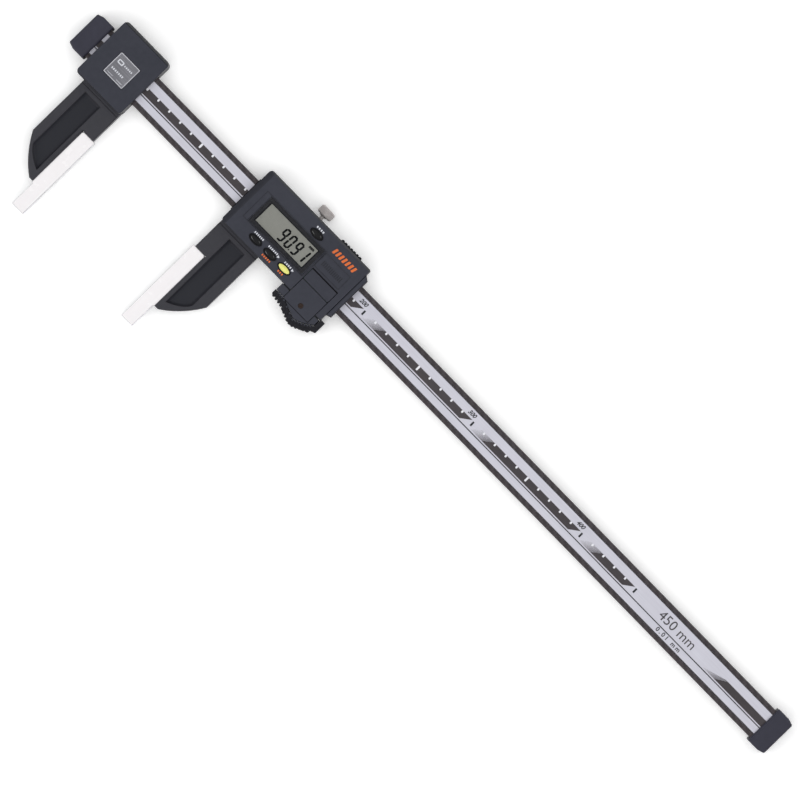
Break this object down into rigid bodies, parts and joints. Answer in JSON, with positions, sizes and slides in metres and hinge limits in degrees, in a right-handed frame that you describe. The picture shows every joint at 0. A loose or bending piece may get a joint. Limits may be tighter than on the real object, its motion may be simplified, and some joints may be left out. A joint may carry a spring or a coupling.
{
  "type": "digital caliper",
  "caption": "Long digital caliper with a hollow carbon-fibre beam, ceramic-tipped jaws, and a sliding battery-powered readout with buttons and a lock screw.",
  "frame": {"origin": "on the table under the middle of the instrument's bounding box, with the caliper lying on its back", "axes": "+X along the beam from the fixed jaw to the far end, -Y towards the jaws' tips, +Z out of the readout's face"},
  "size_m": [0.6398, 0.1436, 0.0255],
  "materials": {
    "carbon_fibre": "clear-coated woven carbon fibre",
    "tape_print": "printed silver tape",
    "scale_board": "etched laminate",
    "cap_plastic": "fine moulded texture",
    "slate_housing": "fine moulded texture",
    "jaw_metal": "dark satin coating",
    "ceramic": "ground",
    "badge_metal": "satin label plate",
    "steel": "turned",
    "brass": "milled",
    "black_rubber": "matt",
    "button_black": "satin",
    "button_yellow": "satin",
    "board_green": "solder mask",
    "lcd_glass": "grey-green liquid crystal panel",
    "window_clear": "clear with a black printed border",
    "socket_black": "moulded"
  },
  "bodies": {
    "beam_unit": {"beam": "carbon_fibre", "main_scale": "scale_board", "scale_tape": "tape_print", "end_cap_left": "cap_plastic", "end_cap_right": "cap_plastic", "fixed_jaw": "jaw_metal", "fixed_jaw_tip": "ceramic", "jaw_clamp_plate": "brass", "jaw_clamp_screw_1": "steel", "jaw_clamp_screw_2": "steel", "head_front_cover": "slate_housing", "head_back_cover": "slate_housing", "head_badge": "badge_metal", "head_cover_screw_1": "steel", "head_cover_screw_2": "steel", "head_cover_screw_3": "steel", "head_cover_screw_4": "steel"},
    "slider_unit": {"slider_front_cover": "slate_housing", "slider_back_cover": "slate_housing", "slider_end_plate": "slate_housing", "thumb_block": "slate_housing", "battery_cover": "slate_housing", "socket_cover": "slate_housing", "slider_jaw": "jaw_metal", "slider_jaw_tip": "ceramic", "gib_screw_1": "steel", "gib_screw_2": "steel", "battery_cell": "steel", "battery_contact_base": "steel", "battery_contact_top": "steel", "battery_cover_screw": "steel", "slider_cover_screw_1": "steel", "slider_cover_screw_2": "steel", "slider_cover_screw_3": "steel", "slider_cover_screw_4": "steel", "slider_gib": "brass", "wiper_left": "black_rubber", "wiper_right": "black_rubber", "keypad_seal_row": "black_rubber", "keypad_seal_hold": "black_rubber", "grip_rubber": "black_rubber", "top_grip": "black_rubber", "lcd_contact_strip": "black_rubber", "circuit_board": "board_green", "detector_head": "board_green", "lcd_panel": "lcd_glass", "display_window": "window_clear", "data_socket": "socket_black"},
    "lock_shoe": {"lock_shoe": "brass"},
    "lock_screw": {"lock_screw": "steel"},
    "offset_button": {"offset_button": "button_black"},
    "preset_button": {"preset_button": "button_black"},
    "zero_button": {"zero_button": "button_yellow"},
    "hold_button": {"hold_button": "button_black"}
  },
  "joints": [
    {"name": "slider_slide", "type": "slide", "parent": "beam_unit", "child": "slider_unit", "axis": [1, 0, 0], "range_m": [-0.0909, 0.35909]},
    {"name": "lock_shoe_slide", "type": "slide", "parent": "slider_unit", "child": "lock_shoe", "axis": [0, -1, 0], "range_m": [0, 0.0003]},
    {"name": "lock_screw_turn", "type": "hinge", "parent": "lock_shoe", "child": "lock_screw", "pos_m": [-0.12579, 0.06595, 0.0094], "axis": [0, -1, 0], "range_deg": [0, 220]},
    {"name": "offset_button_press", "type": "slide", "parent": "slider_unit", "child": "offset_button", "axis": [0, 0, -1], "range_m": [0, 0.0005], "stiffness_N_per_m": 800},
    {"name": "preset_button_press", "type": "slide", "parent": "slider_unit", "child": "preset_button", "axis": [0, 0, -1], "range_m": [0, 0.0005], "stiffness_N_per_m": 800},
    {"name": "zero_button_press", "type": "slide", "parent": "slider_unit", "child": "zero_button", "axis": [0, 0, -1], "range_m": [0, 0.0005], "stiffness_N_per_m": 800},
    {"name": "hold_button_press", "type": "slide", "parent": "slider_unit", "child": "hold_button", "axis": [0, 0, -1], "range_m": [0, 0.0005], "stiffness_N_per_m": 800}
  ],
  "couplings": [
    {"joint": "lock_screw_turn", "follows": "lock_shoe_slide", "rad_per_m": 12566}
  ]
}
